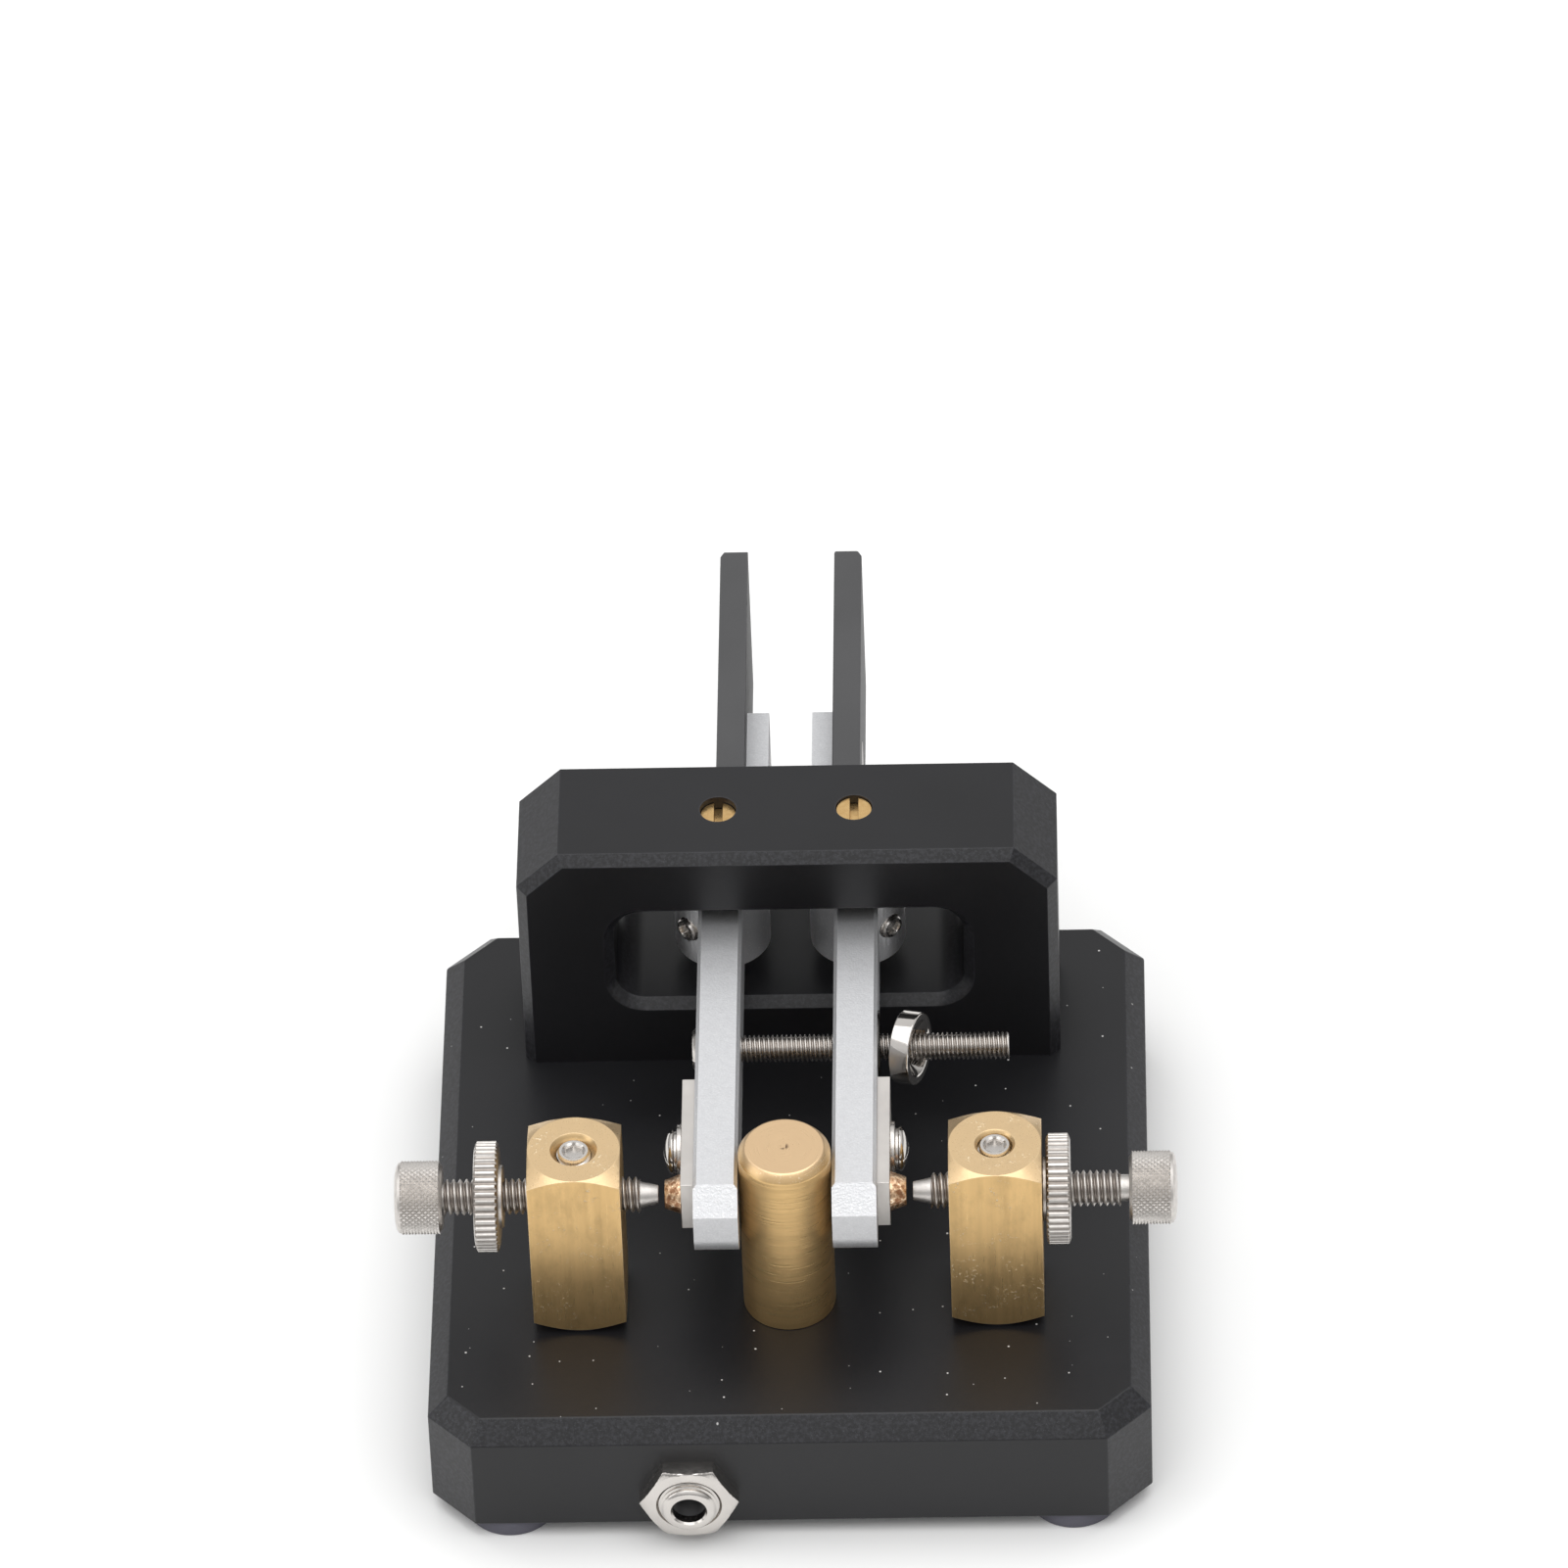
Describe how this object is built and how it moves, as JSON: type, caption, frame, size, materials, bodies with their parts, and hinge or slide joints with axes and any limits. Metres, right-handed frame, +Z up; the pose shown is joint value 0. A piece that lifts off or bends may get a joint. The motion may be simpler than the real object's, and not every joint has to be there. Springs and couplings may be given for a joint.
{
  "type": "twin-lever morse key",
  "caption": "Twin-lever morse key on a square base: two pivoted levers with finger plates, brass posts, knurled contact screws, magnetic return and a front plug socket.",
  "frame": {"origin": "middle of the base block's flat underside; the rubber feet reach 2 mm below it", "axes": "+Z up, +Y towards the finger plates, +X towards the right-hand lever seen from the plug socket side"},
  "size_m": [0.0842, 0.1161, 0.0463],
  "materials": {
    "black_anodised": "satin",
    "blasted_aluminium": "matte",
    "black_plastic": "matte",
    "brass": "brushed",
    "gold_contact": "satin",
    "nickel": "satin",
    "steel": "satin",
    "insulator": "matte",
    "black_magnet": "satin",
    "rubber": "matte",
    "wire_red": "gloss",
    "wire_white": "gloss"
  },
  "bodies": {
    "base": {"base_plate": "black_anodised", "rubber_feet": "rubber", "pivot_frame": "black_anodised", "frame_screws": "steel", "upper_pivot_screws": "brass", "lower_pivot_screws": "brass", "left_contact_post": "brass", "right_contact_post": "brass", "post_pads": "insulator", "post_bushes": "insulator", "solder_lugs": "steel", "post_screws": "steel", "centre_post": "brass", "centre_post_screw": "steel", "post_grub_screws": "nickel", "jack_socket": "steel", "jack_nut": "steel", "jack_leads": "steel", "left_wire": "wire_red", "right_wire": "wire_white"},
    "left_lever": {"left_arm": "blasted_aluminium", "left_finger_plate": "black_plastic", "left_plate_screws": "steel", "left_pivot_shaft": "steel", "left_pivot_set_screw": "nickel", "left_contact_strip": "nickel", "left_contact_rivet": "gold_contact", "left_strip_washer": "nickel", "left_spring_washer": "nickel", "left_strip_screw": "nickel", "tension_screw": "nickel"},
    "right_lever": {"right_arm": "blasted_aluminium", "right_finger_plate": "black_plastic", "right_plate_screws": "steel", "right_pivot_shaft": "steel", "right_pivot_set_screw": "nickel", "right_contact_strip": "nickel", "right_contact_rivet": "gold_contact", "right_strip_washer": "nickel", "right_spring_washer": "nickel", "right_strip_screw": "nickel", "arm_magnet": "black_magnet"},
    "left_ring": {"left_lock_ring": "nickel"},
    "left_screw": {"left_contact_screw": "nickel"},
    "right_ring": {"right_lock_ring": "nickel"},
    "right_screw": {"right_contact_screw": "nickel"},
    "magnet": {"tension_magnet": "nickel"}
  },
  "joints": [
    {"name": "left_lever_swing", "type": "hinge", "parent": "base", "child": "left_lever", "pos_m": [-0.00745, 0.0255, 0.0299], "axis": [0, 0, -1], "range_deg": [0, 0.84], "stiffness_Nm_per_rad": 0.1, "springref_deg": -4.58},
    {"name": "right_lever_swing", "type": "hinge", "parent": "base", "child": "right_lever", "pos_m": [0.00745, 0.0255, 0.0299], "axis": [0, 0, 1], "range_deg": [0, 0.84], "stiffness_Nm_per_rad": 0.1, "springref_deg": -4.58},
    {"name": "tension_magnet_travel", "type": "slide", "parent": "left_lever", "child": "magnet", "axis": [1, 0, 0], "range_m": [0, 0.007]},
    {"name": "left_ring_travel", "type": "slide", "parent": "base", "child": "left_ring", "axis": [-1, 0, 0], "range_m": [0, 0.0014]},
    {"name": "left_screw_turn", "type": "hinge", "parent": "left_ring", "child": "left_screw", "pos_m": [-0.03, -0.02, 0.0299], "axis": [-1, 0, 0], "range_deg": [0, 721]},
    {"name": "right_ring_travel", "type": "slide", "parent": "base", "child": "right_ring", "axis": [1, 0, 0], "range_m": [0, 0.0014]},
    {"name": "right_screw_turn", "type": "hinge", "parent": "right_ring", "child": "right_screw", "pos_m": [0.03, -0.02, 0.0299], "axis": [1, 0, 0], "range_deg": [0, 721]}
  ],
  "couplings": [
    {"joint": "left_screw_turn", "follows": "left_ring_travel", "rad_per_m": 8976},
    {"joint": "right_screw_turn", "follows": "right_ring_travel", "rad_per_m": 8976}
  ]
}
